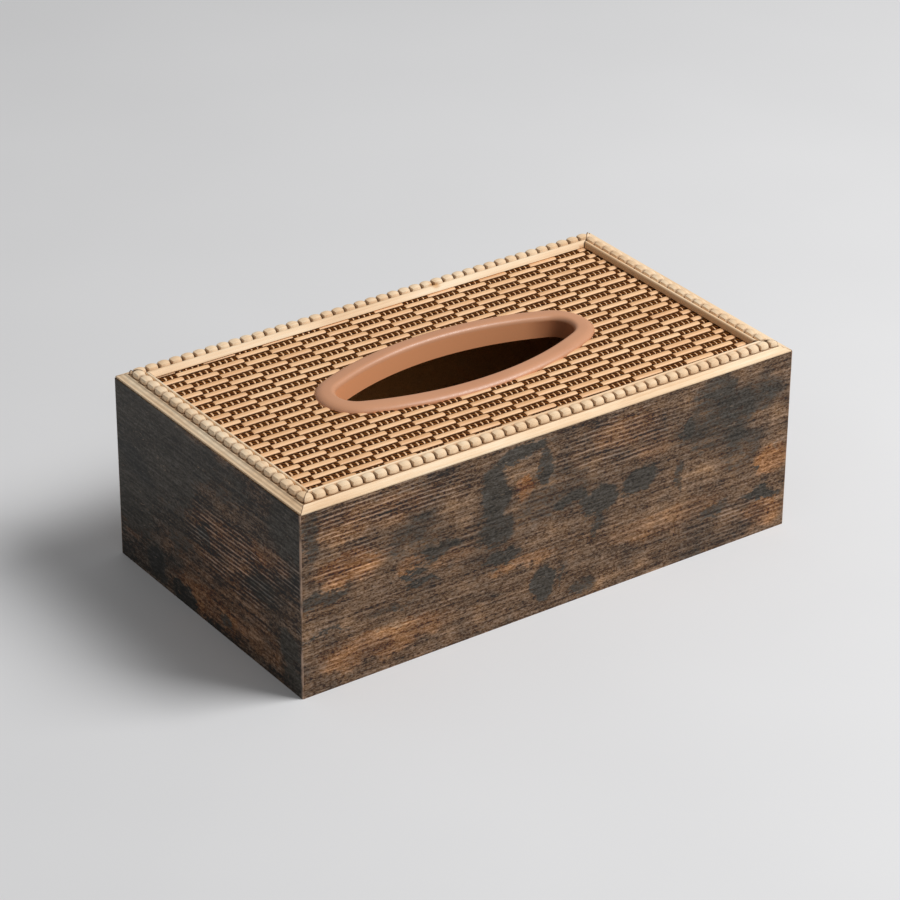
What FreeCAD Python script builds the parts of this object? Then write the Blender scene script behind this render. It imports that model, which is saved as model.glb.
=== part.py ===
import FreeCAD, Part
import math
import os
from FreeCAD import Vector

# Rectangular tissue box, millimetres, +Z up.
# The origin is the middle of the footprint on the surface that the box stands on.
# X runs along the box, the front is on the -Y side and the base board slides out on the +X side.

# Casing of four mitred boards
box_length = 250.0
box_width = 142.0
board_height = 84.5
board_thickness = 9.0
corner_radius = 0.5

# Base board that slides in grooves and closes the box from below
base_thickness = 3.0
base_height_over_floor = 4.3
groove_depth = 4.0
slide_clearance = 0.3
base_end_setback = 0.5
notch_radius = 9.0

# Top board that carries the woven mat and the ring
top_board_thickness = 3.0
ledge_width = 3.0
top_board_clearance = 0.2

# Woven mat: light splints along X, dark cords along Y in groups
splint_width = 2.7
splint_thickness = 0.7
splint_pitch = 3.8
splint_bend_inset = 0.25
cord_width = 1.6
cord_thickness = 0.6
cord_pitch = 2.83
cords_per_group = 5
cords_before_first = 4
mat_rise = 1.2
mat_hole_clearance = 0.5

# Bead moulding: lip, cove, ridge, row of beads and inner fillet, from the outside inwards
moulding_width = 10.8
moulding_end_setback = 0.6
lip_height = 1.0
lip_top_width = 0.5
lip_top_rise = 0.25
cove_width = 1.7
cove_rise = 1.0
cove_sag = 0.3
ridge_width = 1.1
ridge_rise = 0.35
seat_drop = 0.35
seat_slope_width = 0.4
bead_width = 4.9
bead_pitch = 5.83
bead_crown = 2.8
bead_flats = 5
bead_offset = 6.4
bead_top_height = 4.8
bead_spring_height = 2.5
fillet_width = 1.8
fillet_height = 4.0
fillet_shoulder = 0.35
fillet_foot_rise = 1.75
fillet_foot_inset = 0.3
moulding_lap_clearance = 0.1
mat_edge_clearance = 1.0

# Oval ring that lines the mouth
mouth_length = 121.0
mouth_width = 40.5
mouth_end_radius = 9.0
sleeve_wall = 1.5
sleeve_clearance = 0.3
sleeve_depth = 8.0
flange_width = 9.0
flange_height = 3.0
flange_outer_round = 2.4
flange_inner_round = 2.9
flange_round_facets = 2

# Levels and edges that follow from the sizes above
groove_bottom = base_height_over_floor - slide_clearance
groove_top = base_height_over_floor + base_thickness + slide_clearance
lip_width = board_thickness - ledge_width
mat_top = board_height + mat_rise
cord_top = mat_top - splint_thickness
cord_bottom = cord_top - cord_thickness
mat_bottom = cord_bottom - splint_thickness
top_board_bottom = mat_bottom - top_board_thickness
half_length = box_length / 2
half_width = box_width / 2
mat_half_length = half_length - lip_width - top_board_clearance
mat_half_width = half_width - lip_width - top_board_clearance
hole_growth = sleeve_wall + sleeve_clearance

def write(shape, node):
    """Save one node's solids as its STEP file."""
    shape.exportStep("parts/" + node + ".step")


def block(low, high):
    """A box between two corners."""
    size = high - low
    return Part.makeBox(size.x, size.y, size.z, low)


def closed_face(start, steps, to_point):
    """A face whose outline goes from start through the steps, the last of which ends at start.

    A step is (end,) for a straight run or (middle, end) for an arc. Each point is a pair,
    which to_point turns into a place in space.
    """
    edges = []
    here = to_point(*start)
    for step in steps:
        end = to_point(*step[-1])
        if len(step) == 2:
            edges.append(Part.Arc(here, to_point(*step[0]), end).toShape())
        else:
            edges.append(Part.LineSegment(here, end).toShape())
        here = end
    return Part.Face(Part.Wire(edges))


def outline_face(start, steps, to_point):
    """A face whose outline goes from start through the steps and straight back."""
    return closed_face(start, steps + [(start,)], to_point)


def side_bar(start, steps, length):
    """A bar along X from a section of (distance from the outer face, height)."""
    face = outline_face(start, steps, lambda inwards, height: Vector(-length / 2, inwards, height))
    return face.extrude(Vector(length, 0, 0))


def mitre(bar, length, width, height):
    """Cut both ends of a bar along X to 45 degrees, the long edge on the outside."""
    steps = [((length / 2, 0),), ((length / 2 - width, width),), ((-length / 2 + width, width),)]
    plan = outline_face((-length / 2, 0), steps, lambda x, y: Vector(x, y, 0))
    return bar.common(plan.extrude(Vector(0, 0, height)))


def sides_of(length, width):
    """Each side of a rectangle: its length, its distance from the middle, and its turn from the front."""
    return {
        "front": (length, width / 2, 0.0),
        "back": (length, width / 2, 180.0),
        "left": (width, length / 2, -90.0),
        "right": (width, length / 2, 90.0),
    }


def set_on_side(shape, reach, turn):
    """Move a bar made with its outer face on y = 0 to its side of the box."""
    placed = shape.copy()
    placed.translate(Vector(0, -reach, 0))
    placed.rotate(Vector(0, 0, 0), Vector(0, 0, 1), turn)
    return placed


def oval_arcs(growth):
    """The mouth's oval grown outwards: four arcs that meet in line.

    Returns the end arcs' centre X and radius, the side arcs' centre Y (of the arc on the +Y
    side) and radius, and the point where the two meet.
    """
    half_x = mouth_length / 2
    half_y = mouth_width / 2
    end_x = half_x - mouth_end_radius
    side = (end_x ** 2 + half_y ** 2 - mouth_end_radius ** 2) / (2 * (half_y - mouth_end_radius))
    side_y = half_y - side
    slope = math.atan2(-side_y, end_x)
    end_radius = mouth_end_radius + growth
    meeting = (end_x + end_radius * math.cos(slope), end_radius * math.sin(slope))
    return end_x, end_radius, side_y, side + growth, meeting


def oval_prism(growth, low, high):
    """An upright column round the Z axis with the mouth's oval, grown outwards."""
    end_x, end_radius, side_y, side_radius, (meet_x, meet_y) = oval_arcs(growth)
    steps = [
        ((end_x + end_radius, 0), (meet_x, meet_y)),
        ((0, side_y + side_radius), (-meet_x, meet_y)),
        ((-end_x - end_radius, 0), (-meet_x, -meet_y)),
        ((0, -side_y - side_radius), (meet_x, -meet_y)),
    ]
    oval = closed_face((meet_x, -meet_y), steps, lambda x, y: Vector(x, y, low))
    return oval.extrude(Vector(0, 0, high - low))


def oval_half_length(y, growth):
    """Half the grown oval's length at a distance y from its long axis, zero outside it."""
    end_x, end_radius, side_y, side_radius, (meet_x, meet_y) = oval_arcs(growth)
    if y >= side_y + side_radius:
        return 0.0
    if y > meet_y:
        return math.sqrt(side_radius ** 2 - (y - side_y) ** 2)
    return end_x + math.sqrt(end_radius ** 2 - y ** 2)


def oval_half_width(x, growth):
    """Half the grown oval's width at a distance x from its short axis, zero outside it."""
    end_x, end_radius, side_y, side_radius, (meet_x, meet_y) = oval_arcs(growth)
    if x >= end_x + end_radius:
        return 0.0
    if x < meet_x:
        return side_y + math.sqrt(side_radius ** 2 - x ** 2)
    return math.sqrt(end_radius ** 2 - (x - end_x) ** 2)


def board_section(has_groove):
    """Section of a casing board: plain outside, ledge for the top board, groove for the base."""
    foot = 0.0 if has_groove else groove_top
    steps = [((board_thickness, foot),)]
    if has_groove:
        floor = board_thickness - groove_depth
        steps.append(((board_thickness, groove_bottom),))
        steps.append(((floor, groove_bottom),))
        steps.append(((floor, groove_top),))
        steps.append(((board_thickness, groove_top),))
    steps.append(((board_thickness, top_board_bottom),))
    steps.append(((lip_width, top_board_bottom),))
    steps.append(((lip_width, board_height),))
    steps.append(((0.0, board_height),))
    return (0.0, foot), steps


def casing_boards():
    """The four mitred boards. The right one stops above the base board, which leaves there."""
    envelope = block(Vector(-half_length, -half_width, 0), Vector(half_length, half_width, board_height))
    upright = [edge for edge in envelope.Edges if edge.BoundBox.ZLength > board_height / 2]
    envelope = envelope.makeFillet(corner_radius, upright)
    for side, (length, reach, turn) in sides_of(box_length, box_width).items():
        start, steps = board_section(side != "right")
        bar = side_bar(start, steps, length)
        board = mitre(bar, length, board_thickness, board_height)
        write(set_on_side(board, reach, turn).common(envelope), side + "_board")


def base_board():
    """The sliding base: thin board in the side and left grooves, finger notch at the free end."""
    inset = board_thickness - groove_depth + slide_clearance
    low = Vector(-half_length + inset, -half_width + inset, base_height_over_floor)
    free_end = half_length - base_end_setback
    high = Vector(free_end, half_width - inset, base_height_over_floor + base_thickness)
    notch = Part.makeCylinder(notch_radius, base_thickness, Vector(free_end, 0, base_height_over_floor))
    write(block(low, high).cut(notch), "base_board")


def top_board():
    """The board on the ledges, with the oval hole for the ring's sleeve."""
    low = Vector(-mat_half_length, -mat_half_width, top_board_bottom)
    high = Vector(mat_half_length, mat_half_width, mat_bottom)
    hole = oval_prism(hole_growth, top_board_bottom, mat_bottom)
    write(block(low, high).cut(hole), "top_board")


def strip_runs(centre, half_strip, half_span, hole_reach):
    """The stretches of one strip of the mat, from edge to edge or broken by the oval hole.

    The strip lies at centre, half_strip each way, and hole_reach gives the hole's half size
    along it at a distance from the middle.
    """
    nearest = max(abs(centre) - half_strip, 0.0)
    gap = hole_reach(nearest, hole_growth + mat_hole_clearance)
    if gap == 0.0:
        return [(-half_span, half_span)]
    return [(-half_span, -gap), (gap, half_span)]


def cord_places():
    """The X of each cord's centre line, an even number of them across the mat."""
    count = int((2 * mat_half_length - cord_width) / cord_pitch) + 1
    count -= count % 2
    return [(number - (count - 1) / 2) * cord_pitch for number in range(count)]


def row_places():
    """The Y of each splint's centre line, an odd number of them from front to back."""
    count = int((2 * mat_half_width - splint_width) / splint_pitch)
    count += 1 - count % 2
    return [(row - (count - 1) / 2) * splint_pitch for row in range(count)]


def group_of(number):
    """The group that a cord belongs to: its cords go over and under the splints together."""
    return (number + cords_before_first) // cords_per_group


def group_starts(places):
    """Where each group of cords but the first starts, as (X, group)."""
    changes = [number for number in range(1, len(places)) if group_of(number) != group_of(number - 1)]
    return [(places[number] - cord_pitch / 2, group_of(number)) for number in changes]


def splint(row, y, start, end, starts):
    """One stretch of a splint, bent over and under the groups of cords along it."""
    slot = (cord_pitch - cord_width) / 2
    inner = slot - splint_bend_inset
    group = max([group for x, group in starts if x <= start], default=group_of(0))
    over = (row + group) % 2 == 1
    levels = {True: (mat_top, cord_top), False: (cord_bottom, mat_bottom)}
    top = [(start, levels[over][0])]
    bottom = [(start, levels[over][1])]
    for x, group in starts:
        if x - slot > start and x + slot < end:
            before, after = (-inner, slot) if over else (-slot, inner)
            top.append((x + before, levels[over][0]))
            top.append((x + after, levels[not over][0]))
            bottom.append((x - after, levels[over][1]))
            bottom.append((x - before, levels[not over][1]))
            over = not over
    top.append((end, levels[over][0]))
    bottom.append((end, levels[over][1]))
    low_y = y - splint_width / 2
    points = [(point,) for point in top[1:] + bottom[::-1]]
    face = outline_face(top[0], points, lambda along, height: Vector(along, low_y, height))
    return face.extrude(Vector(0, splint_width, 0))


def woven_mat():
    """The woven panel: straight dark cords, and light splints bent over and under them."""
    places = cord_places()
    cords = []
    for x in places:
        for start, end in strip_runs(x, cord_width / 2, mat_half_width, oval_half_width):
            low = Vector(x - cord_width / 2, start, cord_bottom)
            high = Vector(x + cord_width / 2, end, cord_top)
            cords.append(block(low, high))
    starts = group_starts(places)
    splints = []
    for row, y in enumerate(row_places()):
        for start, end in strip_runs(y, splint_width / 2, mat_half_length, oval_half_length):
            splints.append(splint(row, y, start, end, starts))
    write(Part.makeCompound(cords), "warp_cords")
    write(Part.makeCompound(splints), "weft_splints")


def moulding_section():
    """Section of the bead moulding without its beads: distance inwards, height on the board."""
    lap_height = mat_rise + moulding_lap_clearance
    lap_width = lip_width - mat_edge_clearance
    cove_start = (lip_top_width, lip_height + lip_top_rise)
    cove_end = (lip_top_width + cove_width, lip_height + lip_top_rise + cove_rise)
    cove_middle = ((cove_start[0] + cove_end[0]) / 2, (cove_start[1] + cove_end[1]) / 2 - cove_sag)
    ridge_end = (cove_end[0] + ridge_width, cove_end[1])
    ridge_middle = (cove_end[0] + ridge_width / 2, cove_end[1] + ridge_rise)
    seat_height = cove_end[1] - seat_drop
    seat_start = (ridge_end[0] + seat_slope_width, seat_height)
    fillet_start = moulding_width - fillet_width
    shoulder = fillet_height - fillet_shoulder
    crown = (moulding_width - fillet_width / 2, fillet_height)
    foot = moulding_width - fillet_foot_inset
    steps = [
        ((0.0, lip_height),),
        (cove_start,),
        (cove_middle, cove_end),
        (ridge_middle, ridge_end),
        (seat_start,),
        ((fillet_start, seat_height),),
        ((fillet_start, shoulder),),
        (crown, (moulding_width, shoulder)),
        ((moulding_width, fillet_foot_rise),),
        ((foot, fillet_foot_rise - fillet_foot_inset),),
        ((foot, lap_height),),
        ((lap_width, lap_height),),
        ((lap_width, 0.0),),
    ]
    return (0.0, 0.0), steps, seat_height


def bead_row(length, seat_height):
    """A rounded rod, faceted like its notches, where straight-flanked notches leave the beads."""
    radius = bead_width / 2
    rise = (bead_top_height - bead_spring_height) / math.cos(math.pi / 2 / bead_flats)
    near = bead_offset - radius
    rod_steps = [((near, bead_spring_height),)]
    for flat in range(1, bead_flats):
        angle = math.pi * flat / bead_flats
        across = bead_offset - radius * math.cos(angle)
        rod_steps.append(((across, bead_spring_height + rise * math.sin(angle)),))
    rod_steps.append(((bead_offset + radius, bead_spring_height),))
    rod_steps.append(((bead_offset + radius, seat_height),))
    rod = side_bar((near, seat_height), rod_steps, length)
    count = 2 * int(length / 2 / bead_pitch + 0.5) + 1
    first = -count / 2 * bead_pitch
    flank = (bead_pitch - bead_crown) / 2
    steps = [((first, bead_spring_height),)]
    for bead in range(count):
        start = first + bead * bead_pitch
        steps.append(((start + flank, bead_top_height),))
        steps.append(((start + flank + bead_crown, bead_top_height),))
        steps.append(((start + bead_pitch, bead_spring_height),))
    steps.append(((-first, seat_height),))
    notched = outline_face((first, seat_height), steps, lambda x, height: Vector(x, near, height))
    return rod.common(notched.extrude(Vector(0, bead_width, 0)))


def bead_mouldings():
    """The four light mouldings, mitred at the corners, on the boards and over the mat's edge."""
    start, steps, seat_height = moulding_section()
    frame_length = box_length - 2 * moulding_end_setback
    for side, (length, reach, turn) in sides_of(frame_length, box_width).items():
        strip = side_bar(start, steps, length).fuse(bead_row(length, seat_height))
        strip = mitre(strip.removeSplitter(), length, moulding_width, bead_top_height)
        strip.translate(Vector(0, 0, board_height))
        write(set_on_side(strip, reach, turn), "bead_moulding_" + side)


def quarter_round(centre, radius, first_angle):
    """Points of a round turned a quarter towards the mouth, in flat facets."""
    points = []
    for facet in range(flange_round_facets + 1):
        angle = first_angle + math.pi / 2 * facet / flange_round_facets
        points.append((centre[0] + radius * math.cos(angle), centre[1] + radius * math.sin(angle)))
    return points


def ring_section():
    """Section of the ring: distance outwards from the mouth's oval, height."""
    flange_top = mat_top + flange_height
    sleeve_foot = mat_top - sleeve_depth
    outer = (flange_width - flange_outer_round, flange_top - flange_outer_round)
    inner = (flange_inner_round, flange_top - flange_inner_round)
    points = [(sleeve_wall, sleeve_foot), (sleeve_wall, mat_top), (flange_width, mat_top)]
    points += quarter_round(outer, flange_outer_round, 0.0)
    points += quarter_round(inner, flange_inner_round, math.pi / 2)
    return (0.0, sleeve_foot), [(point,) for point in points]


def ring_arc(centre_x, centre_y, radius, first_angle, sweep):
    """The ring's section turned round one arc of the oval."""
    start, steps = ring_section()

    def on_arc(outwards, height):
        reach = radius + outwards
        return Vector(centre_x + reach * math.cos(first_angle), centre_y + reach * math.sin(first_angle), height)

    section = outline_face(start, steps, on_arc)
    return section.revolve(Vector(centre_x, centre_y, 0), Vector(0, 0, 1), math.degrees(sweep))


def mouth_ring():
    """The oval plastic ring: rounded flange on the mat, sleeve down through the top board."""
    end_x, end_radius, side_y, side_radius, (meet_x, meet_y) = oval_arcs(0.0)
    slope = math.atan2(meet_y, meet_x - end_x)
    end_sweep = 2 * slope
    side_sweep = math.pi - 2 * slope
    ring = ring_arc(end_x, 0, end_radius, -slope, end_sweep)
    ring = ring.fuse(ring_arc(0, side_y, side_radius, slope, side_sweep))
    ring = ring.fuse(ring_arc(-end_x, 0, end_radius, math.pi - slope, end_sweep))
    ring = ring.fuse(ring_arc(0, -side_y, side_radius, math.pi + slope, side_sweep))
    write(ring, "mouth_ring")


os.makedirs("parts", exist_ok=True)
casing_boards()
base_board()
top_board()
woven_mat()
bead_mouldings()
mouth_ring()
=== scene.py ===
import math
import random

import bpy
from mathutils import Matrix, Vector


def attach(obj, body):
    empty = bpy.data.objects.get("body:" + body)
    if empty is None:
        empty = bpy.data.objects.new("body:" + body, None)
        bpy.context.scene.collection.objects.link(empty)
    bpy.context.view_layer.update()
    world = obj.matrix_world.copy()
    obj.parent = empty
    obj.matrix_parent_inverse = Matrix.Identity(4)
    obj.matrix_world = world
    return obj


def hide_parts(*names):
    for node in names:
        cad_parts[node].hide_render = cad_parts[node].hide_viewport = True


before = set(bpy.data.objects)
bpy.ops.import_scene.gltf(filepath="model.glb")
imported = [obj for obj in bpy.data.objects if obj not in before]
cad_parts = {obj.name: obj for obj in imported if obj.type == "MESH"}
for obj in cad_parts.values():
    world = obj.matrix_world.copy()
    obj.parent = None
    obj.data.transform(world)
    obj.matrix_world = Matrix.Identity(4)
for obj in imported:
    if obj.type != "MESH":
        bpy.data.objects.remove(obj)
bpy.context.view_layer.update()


# Casing: four boards of pressed fibre, mitred and glued at the corners. Their outer faces wear a
# printed foil of aged wood: charcoal stains over brown, with orange-brown rubbed places and fine saw
# marks. The foil ends at the edges, where the bare board shows, and is rubbed pale at the corners.
MM = 0.001
CASE_LENGTH = 250.0
CASE_WIDTH = 142.0
FOIL_DEPTH = 0.4
FOIL_EDGE = 0.1
RUBBED_WIDTH = 0.8
RUBBED_FULLY = 0.45
MARK_WANDER = 14.0
MARK_TEAR = 12.0
SAW_PITCH = 2.02
SAW_WAVER = 20.0
GRAIN_GREY = (0.13, 0.13, 0.13)
DARKEST_FOIL = (0.006, 0.005, 0.003)
ALONG_X = Vector((1, 0, 0))
ALONG_Y = Vector((0, 1, 0))

# Marks in the foil: place along the board from its middle, height, half sizes, tilt, strength
FRONT_STAINS = [
    (-31, 65, 8.5, 13, 0, 1.2), (-17, 80, 12.5, 4, 8, 1.2), (-5, 70, 3.7, 10, 0, 0.8),
    (-29, 47, 10, 7.5, 0, 0.8), (8, 49, 9, 3, 0, 1), (23.5, 44, 10, 6.5, 0, 1.2),
    (43.5, 46.5, 8.7, 5.3, 0, 1.5), (22, 33.5, 1.7, 6.5, 0, 0.7), (0, 56, 24, 13, 0, 0.4),
    (-26, 33.5, 10, 3.3, 0, 0.8), (-6, 13.5, 6, 8.7, 0, 1.6), (3.5, 15, 1.3, 6.5, 0, 0.6),
    (16, 6, 10, 3, 0, 0.7), (-114, 43.5, 12.5, 3.7, 0, 0.8), (-120, 73, 4.5, 13, 0, 0.7),
    (-71, 41, 7.5, 2, -5, 1), (-66.5, 34.7, 9, 1.5, -5, 1.1), (-57, 47.7, 10, 3.7, 0, 0.8),
    (-69, 57, 15, 11, 0, 0.45), (-114, 27.2, 15, 0.9, 2, 0.9), (-82, 28.5, 13, 2, 0, 0.5),
    (86, 63.5, 20, 16.5, 0, 0.62), (69.3, 63.5, 3.3, 4, 0, 1.2), (66, 42, 2, 8, 10, 0.8),
    (99, 45, 10, 10, 0, 0.6), (83, 78.5, 13, 5, 0, 0.6), (84, 19.3, 8, 3.3, 0, 0.7),
    (113, 20, 12.5, 2.7, -4, 1.1), (108, 33.8, 2, 2, 0, 1.3), (109, 70, 11.5, 10, 0, 0.5),
]
FRONT_WARM = [
    (-102, 53.5, 18, 7.5, 0, 1), (-91, 73.5, 33, 8, 0, 0.5), (-16.5, 62.7, 4.7, 6, 0, 1.3),
    (-86, 13.5, 33, 8, 0, 0.9), (116, 35, 10, 8, 0, 1.1), (113, 10, 12, 8, 0, 0.9),
    (59, 23.5, 33, 6.5, 0, 0.5), (36, 73.5, 18, 8, 0, 0.6), (51, 62, 10, 7, 0, 0.6),
    (-51, 42, 10, 3, 0, 0.6), (-17, 27.7, 18, 2.3, 0, 0.8), (-74, 45, 7, 3.3, 0, 0.8),
]
FRONT_SAWN = [
    (-84, 77, 42, 9, 0, 0.7), (34, 71, 30, 13, 0, 0.5), (-100, 56, 20, 10, 0, 0.6),
    (100, 14, 28, 8, 0, 0.4),
]
LEFT_STAINS = [
    (44, 66, 40, 26, 0, 1.2), (-4, 75, 34, 9, 0, 0.7), (-61, 72, 13, 13, 0, 0.8),
    (58, 38, 20, 24, 0, 1.0), (41, 10, 7, 9, 0, 2.9), (19, 4.3, 9.5, 5.5, 0, 3.1),
    (2.5, 42, 4.5, 3.5, 0, 1.1), (-41, 39, 11, 6, 0, 0.8), (-62, 20, 8, 8, 0, 1.1),
    (-14, 8, 5, 3.5, 0, 1.0), (-66, 5, 10, 6, 0, 1.0), (22, 35, 14, 10, 0, 0.6),
]
LEFT_WARM = [
    (-20, 47, 36, 10, 0, 0.8), (-5, 26, 42, 10, 0, 0.7), (0, 9, 30, 8, 0, 1.3),
    (-50, 54, 15, 5, 0, 0.8), (60, 17, 8, 6, 0, 1.0), (-38, 13, 18, 9, 0, 0.7),
]
LEFT_SAWN = [
    (-20, 42, 36, 16, 0, 1), (-66, 52, 12, 8, 0, 0.8),
]


def colour(red, green, blue):
    """A shader colour from eight-bit screen values."""
    def linear(value):
        value /= 255
        return value / 12.92 if value <= 0.04045 else ((value + 0.055) / 1.055) ** 2.4
    return linear(red), linear(green), linear(blue), 1.0


def add_node(tree, kind, inputs, **settings):
    """Add a shader node with its settings, and its inputs joined or set by name or number."""
    made = tree.nodes.new("ShaderNode" + kind)
    for setting, value in settings.items():
        setattr(made, setting, value)
    for socket, value in inputs.items():
        if isinstance(value, bpy.types.NodeSocket):
            tree.links.new(value, made.inputs[socket])
        else:
            made.inputs[socket].default_value = value
    return made


def maths(tree, operation, first, second=0.0):
    """The result of an operation on one or two values."""
    return add_node(tree, "Math", {0: first, 1: second}, operation=operation).outputs[0]


def total(tree, *values):
    """The sum of several values."""
    result = values[0]
    for value in values[1:]:
        result = maths(tree, "ADD", result, value)
    return result


def product(tree, *values):
    """The product of several values."""
    result = values[0]
    for value in values[1:]:
        result = maths(tree, "MULTIPLY", result, value)
    return result


def swung(tree, value, amount):
    """A noise value spread about zero by an amount."""
    return product(tree, maths(tree, "SUBTRACT", value, 0.5), amount)


def level(tree, value, low, high, to_low=0.0, to_high=1.0):
    """A value eased from the range low to high into another range."""
    inputs = {0: value, 1: low, 2: high, 3: to_low, 4: to_high}
    return add_node(tree, "MapRange", inputs, interpolation_type="SMOOTHSTEP").outputs[0]


def noise(tree, place, marks_per_metre, detail, roughness, distortion=0.0, shift=(0, 0, 0)):
    """Noise from 0 to 1, with so many marks to the metre along each axis."""
    inputs = {"Vector": place, "Location": shift, "Scale": marks_per_metre}
    stretched = add_node(tree, "Mapping", inputs).outputs[0]
    inputs = {"Vector": stretched, "Scale": 1.0, "Detail": detail, "Roughness": roughness}
    return add_node(tree, "TexNoise", {**inputs, "Distortion": distortion}).outputs[0]


def blend(tree, amount, first, second, way="MIX"):
    """Two colours blended by an amount."""
    inputs = {0: amount, 6: first, 7: second}
    return add_node(tree, "Mix", inputs, data_type="RGBA", blend_type=way).outputs[2]


def shades(tree, value, stops):
    """Colours along a value, from (position, colour) stops."""
    made = add_node(tree, "ValToRGB", {0: value})
    elements = made.color_ramp.elements
    while len(elements) < len(stops):
        elements.new(0.5)
    for element, (position, shade) in zip(elements, stops):
        element.position = position
        element.color = shade
    return made.outputs[0]


def new_finish(name, gloss):
    """An empty material of a given specular level, its tree, its shader and its object coordinates."""
    material = bpy.data.materials.new(name)
    material.use_nodes = True
    tree = material.node_tree
    tree.nodes.clear()
    surface = add_node(tree, "BsdfPrincipled", {"Specular IOR Level": gloss})
    add_node(tree, "OutputMaterial", {"Surface": surface.outputs[0]})
    place = add_node(tree, "TexCoord", {}).outputs["Object"]
    return material, tree, surface, place


def set_relief(tree, surface, height, depth):
    """Let a value from 0 to 1 raise the surface by up to a depth, in millimetres."""
    bump = add_node(tree, "Bump", {"Strength": 1.0, "Distance": depth * MM, "Height": height})
    tree.links.new(bump.outputs[0], surface.inputs["Normal"])


def foil_marks(tree, place, run, marks):
    """How strongly a place lies in any of the marks, each a soft-edged ellipse on the board's face."""
    total_strength = 0.0
    across = Vector((1, 1, 0)) - run
    on_face = Vector((1, 1, 1)) - across
    for along, height, half_along, half_height, tilt, strength in marks:
        centre = run * along * MM + Vector((0, 0, height * MM))
        size = run * half_along * MM + across + Vector((0, 0, half_height * MM))
        turn = Vector((run.y, -run.x, 0)) * math.radians(tilt)
        inputs = {"Vector": place, "Location": centre, "Rotation": turn, "Scale": size}
        scaled = add_node(tree, "Mapping", inputs, vector_type="TEXTURE").outputs[0]
        beside = add_node(tree, "VectorMath", {0: scaled, 1: on_face}, operation="MULTIPLY")
        distance = add_node(tree, "VectorMath", {0: beside.outputs[0]}, operation="LENGTH").outputs["Value"]
        total_strength = total(tree, level(tree, distance, 1.2, 0.7, 0.0, strength), total_strength)
    return total_strength


def edge_depth(tree, place):
    """How far a place lies inside the end faces and the side faces, and its height, in metres."""
    parts = add_node(tree, "SeparateXYZ", {0: place})
    from_end = maths(tree, "SUBTRACT", CASE_LENGTH / 2 * MM, maths(tree, "ABSOLUTE", parts.outputs[0]))
    from_side = maths(tree, "SUBTRACT", CASE_WIDTH / 2 * MM, maths(tree, "ABSOLUTE", parts.outputs[1]))
    return from_end, from_side, parts.outputs[2]


def bare_board(tree, place):
    """Colour of the pressed fibre inside the board."""
    fibres = noise(tree, place, (1400, 1400, 1400), 4, 0.7)
    return shades(tree, fibres, [(0.3, colour(168, 132, 88)), (0.7, colour(204, 166, 118))])


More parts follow.
